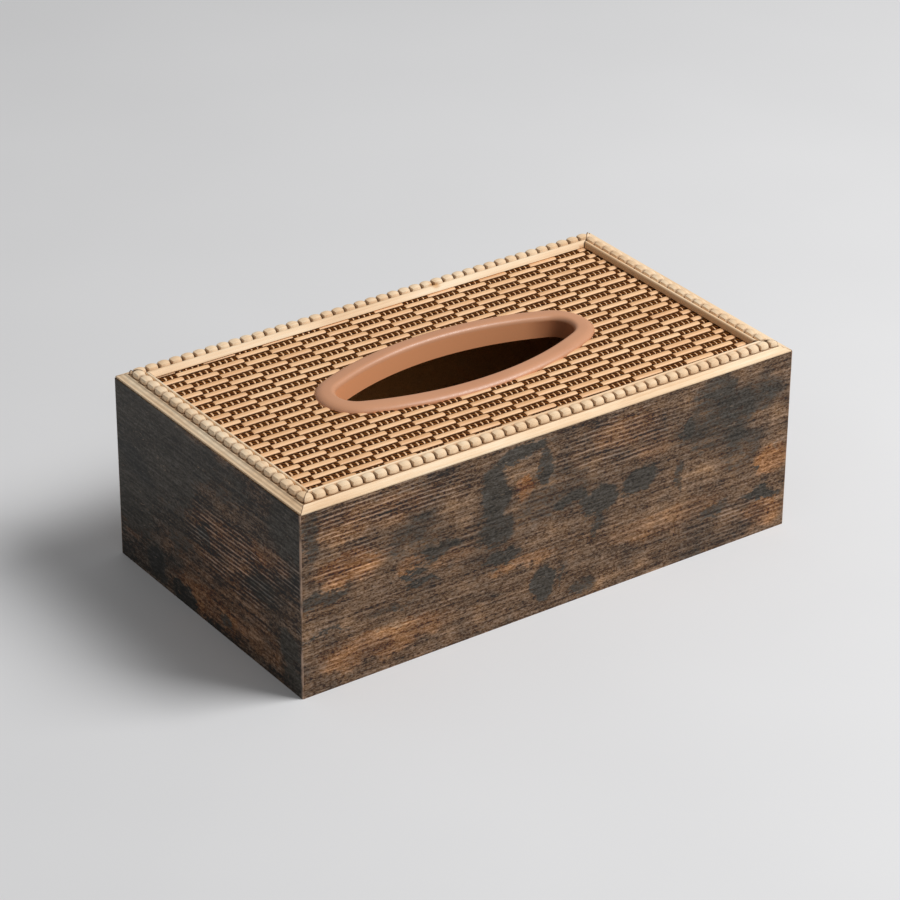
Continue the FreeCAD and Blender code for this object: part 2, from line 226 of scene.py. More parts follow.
def laminated_board(side, run, stains, warm_marks, sawn_marks, paleness_and_shade, shift):
    """The foil of one board, with its own marks."""
    material, tree, surface, place = new_finish("aged_foil_" + side, 0.35)
    from_end, from_side, height = edge_depth(tree, place)

    def along(lengthwise, upright):
        """Marks to the metre along the board and up it."""
        return run * lengthwise + Vector((0, 0, upright))

    wander = noise(tree, place, along(70, 90), 4, 0.6, 0.0, shift)
    torn = noise(tree, place, along(240, 620), 4, 0.7, 0.0, shift)
    fine = noise(tree, place, along(650, 1500), 3, 0.75, 0.0, shift)
    clouds = noise(tree, place, along(22, 42), 6, 0.66, 0.6, shift)
    streaks = noise(tree, place, along(30, 520), 3, 0.6, 0.2, shift)
    swing = noise(tree, place, along(9, 14), 3, 0.5, 0.0, shift)
    dashes = noise(tree, place, along(90, 800), 3, 0.6, 0.0, shift)

    # The marks, their outlines torn
    drift = total(tree, swung(tree, wander, MARK_WANDER * MM), swung(tree, torn, MARK_TEAR * MM))
    pushed = add_node(tree, "VectorMath", {0: place, 1: drift}, operation="ADD").outputs[0]
    stained = foil_marks(tree, pushed, run, stains)
    warmed = foil_marks(tree, pushed, run, warm_marks)
    sawn = foil_marks(tree, pushed, run, sawn_marks)
    stain = total(tree, product(tree, stained, 0.9), swung(tree, clouds, 1.4),
                  swung(tree, torn, 1.7), swung(tree, fine, 1.0))
    stain = level(tree, stain, 0.06, 0.84, 0.0, 0.97)

    # A brown ground, orange where it is warm, under charcoal
    tone = total(tree, paleness_and_shade, product(tree, warmed, 0.2), swung(tree, wander, 0.8),
                 swung(tree, clouds, -0.5), swung(tree, streaks, 0.5))
    brown = shades(tree, tone, [
        (0.0, colour(38, 27, 12)), (0.25, colour(74, 55, 36)), (0.5, colour(114, 87, 62)),
        (0.75, colour(155, 118, 82)), (1.0, colour(212, 168, 124)),
    ])
    orange = blend(tree, 1.0, brown, colour(255, 216, 156), "MULTIPLY")
    brown = blend(tree, product(tree, warmed, 0.5), brown, orange)
    charcoal = shades(tree, clouds, [(0.3, colour(64, 58, 50)), (0.7, colour(52, 47, 39))])
    charcoal = blend(tree, level(tree, stained, 1.7, 2.4), charcoal, colour(26, 23, 17))
    foil = blend(tree, stain, brown, charcoal)

    # Grain and saw marks, which lighten and darken it by a neutral amount
    phase = total(tree, product(tree, height, 2 * math.pi / (SAW_PITCH * MM)),
                  product(tree, swing, SAW_WAVER))
    lines = level(tree, maths(tree, "SINE", phase), -0.3, 0.95)
    dashed = product(tree, lines, level(tree, dashes, 0.36, 0.56, 0.1, 1.0))
    cuts = product(tree, maths(tree, "SUBTRACT", dashed, 0.3), total(tree, 0.2, sawn))
    grain = total(tree, swung(tree, fine, 3.2), swung(tree, torn, 1.6), swung(tree, streaks, 1.2), cuts)
    grain = product(tree, grain, maths(tree, "SUBTRACT", 1.0, product(tree, stain, 0.5)))
    lifted = add_node(tree, "VectorMath", {0: foil, 1: GRAIN_GREY}, operation="ADD").outputs[0]
    change = add_node(tree, "VectorMath", {0: lifted, "Scale": grain}, operation="SCALE").outputs[0]
    grained = add_node(tree, "VectorMath", {0: foil, 1: change}, operation="ADD").outputs[0]
    foil = add_node(tree, "VectorMath", {0: grained, 1: DARKEST_FOIL}, operation="MAXIMUM").outputs[0]
    scuffs = noise(tree, place, along(260, 900), 2, 0.5, 1.5, (9, 1, 5))
    foil = blend(tree, level(tree, scuffs, 0.69, 0.76, 0.0, 0.5), foil, colour(176, 150, 124))

    # Rubbed corners, and the bare board inside the foil
    corner = maths(tree, "MAXIMUM", from_end, from_side)
    rubbed = level(tree, corner, RUBBED_WIDTH * MM, RUBBED_FULLY * MM)
    worn = level(tree, noise(tree, place, (300, 300, 120), 3, 0.6), 0.38, 0.62, 0.1, 0.85)
    foil = blend(tree, product(tree, rubbed, worn), foil, colour(170, 142, 122))
    from_face = maths(tree, "MINIMUM", from_end, from_side)
    inside = level(tree, from_face, FOIL_DEPTH * MM, (FOIL_DEPTH + FOIL_EDGE) * MM)
    surface_colour = blend(tree, inside, foil, bare_board(tree, place))

    tree.links.new(surface_colour, surface.inputs["Base Color"])
    tree.links.new(level(tree, fine, 0.3, 0.7, 0.5, 0.68), surface.inputs["Roughness"])
    set_relief(tree, surface, total(tree, product(tree, dashed, 0.5), product(tree, fine, 0.5)), 0.06)
    return material


# The foil's print comes again on the back, and the far part of it on the right end
END_PRINT_START = -15
END_PRINT_SHIFT = 62
END_STAINS, END_WARM, END_SAWN = (
    [(along - END_PRINT_SHIFT, *rest) for along, *rest in marks if along > END_PRINT_START]
    for marks in (FRONT_STAINS, FRONT_WARM, FRONT_SAWN)
)
# Each board: the way it runs, its marks, the paleness of its ground, partly painted shade on the left, and
# the shift of its grain
BOARDS = {
    "front": (ALONG_X, FRONT_STAINS, FRONT_WARM, FRONT_SAWN, 0.42, (0.0, 0.0, 0.0)),
    "back": (ALONG_X, FRONT_STAINS, FRONT_WARM, FRONT_SAWN, 0.42, (3.1, 5.0, 1.7)),
    # The left board's ground is darker, partly its own darker print and partly painted shade for its side
    # away from the lamp
    "left": (ALONG_Y, LEFT_STAINS, LEFT_WARM, LEFT_SAWN, 0.22, (8.3, 1.0, 6.1)),
    "right": (ALONG_Y, END_STAINS, END_WARM, END_SAWN, 0.4, (2.7, 9.0, 3.9)),
}
for side, foil_look in BOARDS.items():
    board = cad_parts[side + "_board"]
    board.material_slots[0].material = laminated_board(side, *foil_look)


# Base board and top board: thin hard-pressed fibre board, smooth and plain. The base slides in the
# grooves of the casing for refilling. The top board lies on the casing's ledges and carries the mat,
# and its upper face is stained dark so that it doesn't show between the strips.
TOP_BOARD_FACE = 83.7
ABOVE_EVERYTHING = 2 * TOP_BOARD_FACE
STAIN_DEPTH = 0.1


def hard_board(name, stained_above):
    """Plain pressed board, dark above a height."""
    material, tree, surface, place = new_finish(name, 0.3)
    fibres = noise(tree, place, (900, 900, 900), 5, 0.7)
    plain = shades(tree, fibres, [(0.3, colour(172, 138, 94)), (0.7, colour(206, 170, 122))])
    height = add_node(tree, "SeparateXYZ", {0: place}).outputs[2]
    stained = level(tree, height, (stained_above - STAIN_DEPTH) * MM, stained_above * MM)
    tree.links.new(blend(tree, stained, plain, colour(58, 32, 16)), surface.inputs["Base Color"])
    tree.links.new(level(tree, fibres, 0.3, 0.7, 0.55, 0.75), surface.inputs["Roughness"])
    set_relief(tree, surface, fibres, 0.03)
    return material


base_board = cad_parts["base_board"]
base_board.material_slots[0].material = hard_board("plain_hard_board", ABOVE_EVERYTHING)
top_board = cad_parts["top_board"]
top_board.material_slots[0].material = hard_board("stained_hard_board", TOP_BOARD_FACE)


# Warp of the woven mat: dark-stained twisted cords of paper string that run from front to back in
# groups of five. Each group passes over one splint and under the next, and the group beside it does
# the opposite. Their ends are caught under the mouldings and under the ring of the mouth.
CORD_COUNT = 84
CORD_PITCH = 2.818
CORDS_PER_GROUP = 5
CORDS_BEFORE_FIRST = 4
CORD_HALF_WIDTH = 1.1
CORD_HALF_THICKNESS = 0.33
CORD_HALF_DEPTH = 0.8
CORD_MIDDLE = 84.96
CORD_SIDES = 8
CORD_SWAY = 0.46
CORD_SWAY_SHARPNESS = 1.35
CORD_SLANT = 0.08
TWIST_ACROSS = 2.3
TWIST_ALONG = 1.9
ROW_COUNT = 33
ROW_PITCH = 3.773
ROW_SHIFT = -0.71
MAT_HALF_LENGTH = 118.6
MAT_HALF_WIDTH = 64.7
MAT_EDGE_SPACE = 0.1
# The mat leans a little, and was drawn in unevenly to both sides of a place near its middle
MAT_LEAN = 0.0115
LEAN_FADE_WIDTH = 4.0
ROW_LEAN = -0.0095
DRIFT_PEAK = 0.56
DRIFT_PLACE = -7.0
DRIFT_FALL_LEFT = 0.00029
DRIFT_FALL_RIGHT = 0.00019
# The oval of the mouth, and how far outside it the mat is cut
MOUTH_HALF_LENGTH = 60.0
MOUTH_HALF_WIDTH = 19.9
MOUTH_END_RADIUS = 9.0
HOLE_GROWTH = 2.3
PATH_ROWS = ROW_COUNT + 5
STEPS_PER_ROW = 4


def group_of(number):
    """The group that a cord belongs to."""
    return (number + CORDS_BEFORE_FIRST) // CORDS_PER_GROUP


def drifted(x):
    """Where a place along the even pattern of the mat really lies, since it was drawn in unevenly."""
    fall = DRIFT_FALL_LEFT if x < DRIFT_PLACE else DRIFT_FALL_RIGHT
    return x + DRIFT_PEAK - fall * (x - DRIFT_PLACE) ** 2


def deselect_all():
    """Leave nothing selected, so that the next operator acts on new work alone."""
    bpy.ops.object.select_all(action="DESELECT")


def draw_outline(name, points, filled=True):
    """A closed outline drawn by pulling a corner from point to point, in millimetres."""
    deselect_all()
    bpy.ops.mesh.primitive_plane_add(size=MM)
    piece = bpy.context.object
    piece.name = name
    bpy.ops.object.mode_set(mode="EDIT")
    bpy.ops.mesh.merge(type="CENTER")
    bpy.ops.transform.translate(value=Vector(points[0]) * MM)
    for here, there in zip(points, points[1:]):
        step = (Vector(there) - Vector(here)) * MM
        bpy.ops.mesh.extrude_vertices_move(TRANSFORM_OT_translate={"value": step})
    bpy.ops.mesh.select_all(action="SELECT")
    bpy.ops.mesh.edge_face_add()
    if not filled:
        bpy.ops.mesh.delete(type="ONLY_FACE")
        bpy.ops.mesh.select_all(action="SELECT")
    bpy.ops.object.mode_set(mode="OBJECT")
    return piece


def pull_along(piece, path):
    """Pull the selected end face along the steps of a path, in millimetres, and turn the faces out."""
    deselect_all()
    piece.select_set(True)
    bpy.context.view_layer.objects.active = piece
    bpy.ops.object.mode_set(mode="EDIT")
    for here, there in zip(path, path[1:]):
        step = (Vector(there) - Vector(here)) * MM
        bpy.ops.mesh.extrude_region_move(TRANSFORM_OT_translate={"value": step})
    bpy.ops.mesh.select_all(action="SELECT")
    bpy.ops.mesh.normals_make_consistent(inside=False)
    bpy.ops.object.mode_set(mode="OBJECT")


def copy_piece(piece, place):
    """A copy of a piece with its own mesh, moved by a matrix."""
    twin = piece.copy()
    twin.data = piece.data.copy()
    twin.data.transform(place)
    bpy.context.collection.objects.link(twin)
    return twin


def cut_off(piece, point, outwards):
    """Cut a piece at a plane and close it, and drop what lies on the outward side."""
    deselect_all()
    piece.select_set(True)
    bpy.context.view_layer.objects.active = piece
    bpy.ops.object.mode_set(mode="EDIT")
    bpy.ops.mesh.select_all(action="SELECT")
    bpy.ops.mesh.bisect(plane_co=Vector(point) * MM, plane_no=outwards, use_fill=True, clear_outer=True)
    bpy.ops.object.mode_set(mode="OBJECT")


def join_pieces(name, pieces):
    """Make one piece of many."""
    deselect_all()
    for piece in pieces:
        piece.select_set(True)
    bpy.context.view_layer.objects.active = pieces[0]
    bpy.ops.object.join()
    pieces[0].name = name
    pieces[0].data.name = name
    return pieces[0]


def discard(piece):
    """Remove a pattern piece after its copies are made."""
    bpy.data.objects.remove(piece, do_unlink=True)


def smooth_within(piece, degrees):
    """Shade a piece smooth where its faces meet at less than an angle."""
    deselect_all()
    piece.select_set(True)
    bpy.context.view_layer.objects.active = piece
    bpy.ops.object.shade_smooth_by_angle(angle=math.radians(degrees))


def oval_arcs(growth):
    """The mouth's oval grown outwards: end centre, end radius, side centre, side radius, their slope."""
    end_x = MOUTH_HALF_LENGTH - MOUTH_END_RADIUS
    bulge = MOUTH_HALF_WIDTH - MOUTH_END_RADIUS
    side_radius = (end_x ** 2 + MOUTH_HALF_WIDTH ** 2 - MOUTH_END_RADIUS ** 2) / (2 * bulge)
    side_y = MOUTH_HALF_WIDTH - side_radius
    return end_x, MOUTH_END_RADIUS + growth, side_y, side_radius + growth, math.atan2(-side_y, end_x)


def oval_reach(across, growth, along_x):
    """Half the grown oval's reach along one axis at a distance from it, or zero outside it."""
    end_x, end_radius, side_y, side_radius, slope = oval_arcs(growth)
    meet_x = end_x + end_radius * math.cos(slope)
    meet_y = end_radius * math.sin(slope)
    if along_x:
        if across >= side_y + side_radius:
            return 0.0
        if across > meet_y:
            return math.sqrt(side_radius ** 2 - (across - side_y) ** 2)
        return end_x + math.sqrt(end_radius ** 2 - across ** 2)
    if across >= end_x + end_radius:
        return 0.0
    if across < meet_x:
        return side_y + math.sqrt(side_radius ** 2 - across ** 2)
    return math.sqrt(end_radius ** 2 - (across - end_x) ** 2)


def trimmed(strip, direction, half_span, gap):
    """The strip cut at the mat's two edges, and in two where the hole lies in its way."""
    cut_off(strip, direction * half_span, direction)
    cut_off(strip, direction * -half_span, -direction)
    if gap == 0.0:
        return [strip]
    other = copy_piece(strip, Matrix.Identity(4))
    cut_off(strip, direction * -gap, direction)
    cut_off(other, direction * gap, -direction)
    return [strip, other]


# One cord: flat above and deeper below, swaying over and under row by row
cord_section = []
for corner in range(CORD_SIDES):
    angle = 2 * math.pi * (corner + 0.5) / CORD_SIDES
    rise = CORD_HALF_THICKNESS if corner < CORD_SIDES / 2 else CORD_HALF_DEPTH
    cord_section.append((CORD_HALF_WIDTH * math.cos(angle), 0, rise * math.sin(angle)))
cord_path = []
for step in range(PATH_ROWS * STEPS_PER_ROW + 1):
    rows = step / STEPS_PER_ROW - PATH_ROWS // 2
    sway = max(-1.0, min(1.0, CORD_SWAY_SHARPNESS * math.cos(math.pi * rows)))
    cord_path.append((CORD_SLANT * math.sin(math.pi * rows), rows * ROW_PITCH, CORD_SWAY * sway))
cord = draw_outline("cord", [Vector(point) + Vector(cord_path[0]) for point in cord_section])
pull_along(cord, cord_path)

cords = []
last_place = MAT_HALF_LENGTH - CORD_HALF_WIDTH - MAT_EDGE_SPACE
for number in range(CORD_COUNT):
    even_x = (number - (CORD_COUNT - 1) / 2) * CORD_PITCH
    x = min(max(drifted(even_x), -last_place), last_place)
    rows_shifted = (group_of(number) + (ROW_COUNT - 1) // 2) % 2
    y = rows_shifted * ROW_PITCH + ROW_SHIFT + ROW_LEAN * x
    place = Matrix.Translation(Vector((x, y, CORD_MIDDLE)) * MM)
    strip = copy_piece(cord, place)
    gap = oval_reach(max(abs(x) - CORD_HALF_WIDTH, 0), HOLE_GROWTH, False)
    for part in trimmed(strip, ALONG_Y, MAT_HALF_WIDTH, gap):
        lean = Matrix.Identity(4)
        lean[0][1] = MAT_LEAN * min(1.0, (last_place - abs(x)) / LEAN_FADE_WIDTH)
        part.data.transform(lean)
        cords.append(part)
discard(cord)
warp = join_pieces("twisted_cords", cords)
smooth_within(warp, 70)

cord_finish, tree, surface, place = new_finish("dark_twisted_string", 0.08)
parts = add_node(tree, "SeparateXYZ", {0: place})
turns = total(tree, product(tree, parts.outputs[0], 2 * math.pi / (TWIST_ACROSS * MM)),
              product(tree, parts.outputs[1], 2 * math.pi / (TWIST_ALONG * MM)))
twist = total(tree, product(tree, maths(tree, "SINE", turns), 0.5), 0.5)
strands = noise(tree, place, (1800, 900, 1800), 3, 0.6)
tone = total(tree, product(tree, twist, 0.6), product(tree, strands, 0.4))
string_colour = shades(tree, tone, [
    (0.15, colour(38, 14, 0)), (0.55, colour(82, 40, 4)), (0.9, colour(128, 76, 22)),
])
tree.links.new(string_colour, surface.inputs["Base Color"])
surface.inputs["Roughness"].default_value = 0.6
set_relief(tree, surface, twist, 0.2)
warp.data.materials.append(cord_finish)
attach(warp, "casing")
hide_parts("warp_cords")


# Weft of the woven mat: split cane, light and glossy, one splint to a row from end to end. Each
# splint passes over five cords and under the next five, and its neighbours do the opposite, so that
# the raised stretches lie like short bars in a brick pattern.
SPLINT_HALF_WIDTH = 1.4
SPLINT_HALF_THICKNESS = 0.45
SPLINT_HIGH = 85.25
SPLINT_LOW = 84.98
BEND_HALF_LENGTH = 0.6
BEND_INTO_GAP = 0.4
BEND_STEPS = 5
BAR_STEPS = 3
SPLINT_OVERHANG = 2.0
NARROWEST_SPLINT = 0.95
WIDEST_SPLINT = 1.06
SPLINT_SLIP = 0.3


def splint_path(first_is_high):
    """Points (x, height) of a splint's middle line, bent where one group of cords ends."""
    starts = []
    for number in range(1, CORD_COUNT):
        if group_of(number) != group_of(number - 1):
            starts.append(drifted((number - CORD_COUNT / 2) * CORD_PITCH))
    high = first_is_high
    points = [(-MAT_HALF_LENGTH - SPLINT_OVERHANG, SPLINT_HIGH if high else SPLINT_LOW)]
    for start, following in zip(starts, starts[1:] + [MAT_HALF_LENGTH + SPLINT_OVERHANG]):
        bend = start + (BEND_INTO_GAP if high else -BEND_INTO_GAP)
        height_before, height_after = (SPLINT_HIGH, SPLINT_LOW) if high else (SPLINT_LOW, SPLINT_HIGH)
        for step in range(BEND_STEPS + 1):
            part = step / BEND_STEPS
            eased = part * part * (3 - 2 * part)
            x = bend + (2 * part - 1) * BEND_HALF_LENGTH
            points.append((x, height_before + (height_after - height_before) * eased))
        high = not high
        bar_start = bend + BEND_HALF_LENGTH
        bar_end = following - BEND_HALF_LENGTH
        for step in range(1, BAR_STEPS + 1):
            x = bar_start + (bar_end - bar_start) * step / (BAR_STEPS + 1)
            points.append((x, height_after))
    return points


SPLINT_OUTLINE = [
    (1, -0.3), (0.9, 0.45), (0.5, 0.95), (-0.5, 0.95), (-0.9, 0.45), (-1, -0.3), (-0.8, -1), (0.8, -1),
]
# One splint of each kind: high over the first group of cords, or low under it
splint_section = []
for y, z in SPLINT_OUTLINE:
    splint_section.append(Vector((0, y * SPLINT_HALF_WIDTH, z * SPLINT_HALF_THICKNESS)))
patterns = {}
for first_is_high in (True, False):
    path = [Vector((x, 0, height)) for x, height in splint_path(first_is_high)]
    pattern = draw_outline("splint", [point + path[0] for point in splint_section])
    pull_along(pattern, path)
    patterns[first_is_high] = pattern

random.seed(5)
splints = []
for row in range(ROW_COUNT):
    y = (row - (ROW_COUNT - 1) / 2) * ROW_PITCH + ROW_SHIFT
    pattern = patterns[(row + group_of(0)) % 2 == 1]
    width = random.uniform(NARROWEST_SPLINT, WIDEST_SPLINT)
    slip = random.uniform(-SPLINT_SLIP, SPLINT_SLIP)
    lean = Matrix.Translation(Vector((MAT_LEAN * y + slip, y, 0)) * MM)
    lean[1][0] = ROW_LEAN
    strip = copy_piece(pattern, lean @ Matrix.Scale(width, 4, ALONG_Y))
    gap = oval_reach(max(abs(y) - SPLINT_HALF_WIDTH, 0), HOLE_GROWTH, True)
    splints += trimmed(strip, ALONG_X, MAT_HALF_LENGTH, gap)
for pattern in patterns.values():
    discard(pattern)
weft = join_pieces("cane_splints", splints)
smooth_within(weft, 50)

cane_finish, tree, surface, place = new_finish("split_cane", 0.5)
fibres = noise(tree, place, (60, 2200, 2200), 4, 0.6)
parts = add_node(tree, "SeparateXYZ", {0: place})
rows_up = total(tree, product(tree, parts.outputs[1], 1 / (ROW_PITCH * MM)),
                product(tree, parts.outputs[0], -ROW_LEAN / (ROW_PITCH * MM)))
row_number = maths(tree, "FLOOR", total(tree, rows_up, 0.5 - ROW_SHIFT / ROW_PITCH))
row_tone = add_node(tree, "TexWhiteNoise", {"W": row_number}, noise_dimensions="1D").outputs[0]
soft_tone = noise(tree, place, (40, 60, 1), 3, 0.5)
tone = total(tree, product(tree, row_tone, 0.16), product(tree, fibres, 0.5),
             product(tree, soft_tone, 0.34))
cane_colour = shades(tree, tone, [
    (0.3, colour(216, 163, 112)), (0.52, colour(238, 188, 138)), (0.75, colour(249, 210, 164)),
])
tree.links.new(cane_colour, surface.inputs["Base Color"])
tree.links.new(level(tree, fibres, 0.3, 0.7, 0.38, 0.55), surface.inputs["Roughness"])
set_relief(tree, surface, fibres, 0.04)
weft.data.materials.append(cane_finish)
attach(weft, "casing")
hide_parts("weft_splints")


# Bead mouldings: four lengths of unfinished light wood, milled with a lip, a cove, a ridge and an
# inner fillet that slopes down to the mat, and with a row of beads cut across the rounded rod between
# ridge and fillet. They are mitred and glued on the casing's edge, over the ends of the mat.
MOULDING_FOOT = 84.5
MOULDING_SET_IN = 0.6
MOULDING_OUTLINE = [
    (0.08, 0.0), (0.0, 0.1), (0.0, 0.6), (0.1, 0.75), (0.35, 0.82), (0.8, 0.9), (1.15, 1.1),
    (1.45, 1.32), (1.8, 1.46), (2.2, 1.52), (2.5, 1.6), (2.75, 1.85), (2.95, 2.1), (3.15, 2.25),
    (3.35, 2.25), (3.52, 2.1), (3.7, 1.9), (9.0, 1.9), (9.12, 2.0), (9.15, 3.45), (9.3, 3.68),
    (9.6, 3.8), (9.95, 3.8), (10.25, 3.65), (10.7, 3.2), (11.3, 2.55), (11.85, 1.9), (12.0, 1.6),
    (11.85, 1.4), (11.5, 1.3), (5.0, 1.3), (5.0, 0.0),
]
SPARE_LENGTH = 1.0
LIP_END = 1.0
SLOPE_START = 10.2
BEAD_OFFSET = 6.4
BEAD_HALF_WIDTH = 2.45
BEAD_TOP = 4.8
BEAD_HEIGHT = 2.4
BEAD_HALF_LENGTH = 0.495
BEAD_ROUNDNESS = 0.75
BEAD_UNEVENNESS = 0.05
# Where the painted shade at each bead's ends starts and how wide it is, as parts of its half length
GAP_SHADE_START = 0.8
GAP_SHADE_WIDTH = 0.13
# Where a colour starts and where it is full, inwards from the outer face or up from the foot. The darkening
# in the seat of the beads and on the right's inner slope is painted shade.
SEAT_OUTER_EDGE = (3.2 * MM, 3.7 * MM)
SEAT_INNER_EDGE = (9.25 * MM, 9.1 * MM)
SEAT_UPPER_EDGE = (2.6 * MM, 1.95 * MM)
# Painted shade on the inner slope of the right moulding, which faces away from the lamp
SHADED_SLOPE = (10.7 * MM, 12.0 * MM)
SHADED_SLOPE_X = (109 * MM, 110 * MM)
MITRE_GAP = (0.34 * MM, 0.12 * MM)
KNOT_PLACE = (32 * MM, 62 * MM, 88 * MM)
KNOT_REACH = (3.4 * MM, 0.8 * MM)
KNOT_RAGGEDNESS = 3.0 * MM
# Each side: its length, the reach of its outer face, its turn, its beads' pitch, shift and crowding,
# how much wider than drawn its lip is, and what part of its inner slope is kept
LONG_SIDE = CASE_LENGTH - 2 * MOULDING_SET_IN
SIDES = {
    "front": (LONG_SIDE, CASE_WIDTH / 2, 0.0, 5.64, -2.75, -0.0055, 0.0, 1.0),
    "back": (LONG_SIDE, CASE_WIDTH / 2, 180.0, 5.79, -0.2, 0.002, 0.0, 1.0),
    "left": (CASE_WIDTH, LONG_SIDE / 2, -90.0, 5.97, -2.4, 0.0, 0.0, 1.0),
    "right": (CASE_WIDTH, LONG_SIDE / 2, 90.0, 5.9, 0.0, 0.0, 1.1, 0.68),
}

# One length of the profile, longer than any side
start = Vector((-CASE_LENGTH / 2 - SPARE_LENGTH, 0, MOULDING_FOOT))
profile_points = [start + Vector((0, inwards, height)) for inwards, height in MOULDING_OUTLINE]
strip = draw_outline("moulding", profile_points)
pull_along(strip, [start, start + ALONG_X * (CASE_LENGTH + 2 * SPARE_LENGTH)])

# One bead, a rounded block one unit long, with its two ends marked for painted shade in the cuts between
# beads
deselect_all()
bpy.ops.mesh.primitive_cube_add(size=2)
bead = bpy.context.object
bpy.ops.object.mode_set(mode="EDIT")
bpy.ops.mesh.subdivide(number_cuts=3)
bpy.ops.object.mode_set(mode="OBJECT")
rounding = bead.modifiers.new("rounding", "CAST")
rounding.factor = BEAD_ROUNDNESS
rounding.size = 1.0
rounding.use_radius_as_size = False
bpy.ops.object.modifier_apply(modifier="rounding")
reach = max(vertex.co.z for vertex in bead.data.vertices)
bead_gap_shade = bead.data.attributes.new("bead_gap_shade", "FLOAT", "POINT")
for vertex, mark in zip(bead.data.vertices, bead_gap_shade.data):
    mark.value = min(1.0, max(0.0, (abs(vertex.co.x) / reach - GAP_SHADE_START) / GAP_SHADE_WIDTH))
bead.data.transform(Matrix.Diagonal((BEAD_HALF_LENGTH / reach, BEAD_HALF_WIDTH / reach, 1 / reach, 1)))
for vertex in bead.data.vertices:
    if vertex.co.z > 0:
        vertex.co.z *= BEAD_HEIGHT
    vertex.co.z += BEAD_TOP - BEAD_HEIGHT
bead.data.transform(Matrix.Translation(Vector((0, BEAD_OFFSET, MOULDING_FOOT))))
bead.data.transform(Matrix.Scale(MM, 4))


def bead_row(length, pitch, shift, crowding):
    """A row of beads as long as its side, evenly pitched but for a slight crowding to one end."""
    copies = []
    count = int(length / 2 / pitch) + 2
    for number in range(-count, count + 1):
        x = shift + pitch * number + crowding * number ** 2
        step = pitch + 2 * crowding * number
        x += random.uniform(-BEAD_UNEVENNESS, BEAD_UNEVENNESS)
        y = random.uniform(-BEAD_UNEVENNESS, BEAD_UNEVENNESS)
        place = Matrix.Translation(Vector((x, y, 0)) * MM)
        copies.append(copy_piece(bead, place @ Matrix.Scale(step, 4, ALONG_X)))
    return join_pieces("beads", copies)


def moulding_wood(name, run):
    """Unfinished light wood with its grain along the moulding."""
    material, tree, surface, place = new_finish(name, 0.35)
    across = Vector((1, 1, 1)) - run
    rings = noise(tree, place, run * 14 + across * 620, 4, 0.6, 0.25)
    pores = noise(tree, place, run * 220 + across * 2600, 3, 0.6)
    patches = noise(tree, place, run * 24 + across * 60, 3, 0.5, 0.0, (6, 2, 3))
    tone = total(tree, product(tree, rings, 0.5), product(tree, patches, 0.5), swung(tree, pores, 0.3))
    wood = shades(tree, tone, [
        (0.3, colour(220, 182, 140)), (0.5, colour(240, 208, 170)), (0.7, colour(250, 229, 198)),
    ])

    # Painted shade in the seat of the beads, and a little on the inner slope at the right
    from_end, from_side, height = edge_depth(tree, place)
    from_end = maths(tree, "SUBTRACT", from_end, MOULDING_SET_IN * MM)
    inwards = maths(tree, "MINIMUM", from_end, from_side)
    rise = maths(tree, "SUBTRACT", height, MOULDING_FOOT * MM)
    painted_seat_shade = product(tree, level(tree, inwards, *SEAT_OUTER_EDGE), level(tree, rise, *SEAT_UPPER_EDGE),
                      level(tree, inwards, *SEAT_INNER_EDGE))
    wood = blend(tree, product(tree, painted_seat_shade, 0.65), wood, colour(122, 82, 44))
    # The right moulding's inner slope faces away from the lamp: painted shade
    x = add_node(tree, "SeparateXYZ", {0: place}).outputs[0]
    painted_slope_shade = product(tree, level(tree, x, *SHADED_SLOPE_X, 0.0, 0.85), level(tree, inwards, *SHADED_SLOPE))
    wood = blend(tree, painted_slope_shade, wood, colour(196, 146, 96))

    # A knot, painted shade in the cuts between the beads, and the gaps of the mitres
    knot_inputs = {0: place, 1: KNOT_PLACE}
    from_knot = add_node(tree, "VectorMath", knot_inputs, operation="DISTANCE").outputs["Value"]
    from_knot = total(tree, from_knot, swung(tree, pores, KNOT_RAGGEDNESS))
    wood = blend(tree, level(tree, from_knot, *KNOT_REACH, 0.0, 0.8), wood, colour(204, 146, 80))
    bead_gap_shade = add_node(tree, "Attribute", {}, attribute_name="bead_gap_shade").outputs["Fac"]
    wood = blend(tree, product(tree, bead_gap_shade, 0.85), wood, colour(104, 66, 34))
    from_mitre = maths(tree, "ABSOLUTE", maths(tree, "SUBTRACT", from_end, from_side))
    wood = blend(tree, level(tree, from_mitre, *MITRE_GAP, 0.0, 0.85), wood, colour(86, 52, 28))

    tree.links.new(wood, surface.inputs["Base Color"])
    tree.links.new(level(tree, pores, 0.3, 0.7, 0.5, 0.68), surface.inputs["Roughness"])
    set_relief(tree, surface, total(tree, product(tree, rings, 0.5), product(tree, pores, 0.5)), 0.06)
    return material


wood_along_x = moulding_wood("light_wood_lengthwise", ALONG_X)
wood_along_y = moulding_wood("light_wood_crosswise", ALONG_Y)
for side, (length, reach, turn, pitch, shift, crowding, wider_lip, slope_part) in SIDES.items():
    profile = copy_piece(strip, Matrix.Identity(4))
    for vertex in profile.data.vertices:
        vertex.co.y -= max(0.0, vertex.co.y - SLOPE_START * MM) * (1 - slope_part)
        if vertex.co.y > LIP_END * MM:
            vertex.co.y += wider_lip * MM
    beads = bead_row(length, pitch, shift, crowding)
    beads.data.transform(Matrix.Translation((0, wider_lip * MM, 0)))
    for part in (profile, beads):
        cut_off(part, (length / 2, 0, 0), (1, 1, 0))
        cut_off(part, (-length / 2, 0, 0), (-1, 1, 0))
    moulding = join_pieces("beaded_moulding_" + side, [profile, beads])
    outwards = Matrix.Translation((0, -reach * MM, 0))
    moulding.data.transform(Matrix.Rotation(math.radians(turn), 4, "Z") @ outwards)
    smooth_within(moulding, 42)
    moulding.data.materials.append(wood_along_x if side in ("front", "back") else wood_along_y)
    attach(moulding, "casing")
    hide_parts("bead_moulding_" + side)
discard(strip)
discard(bead)


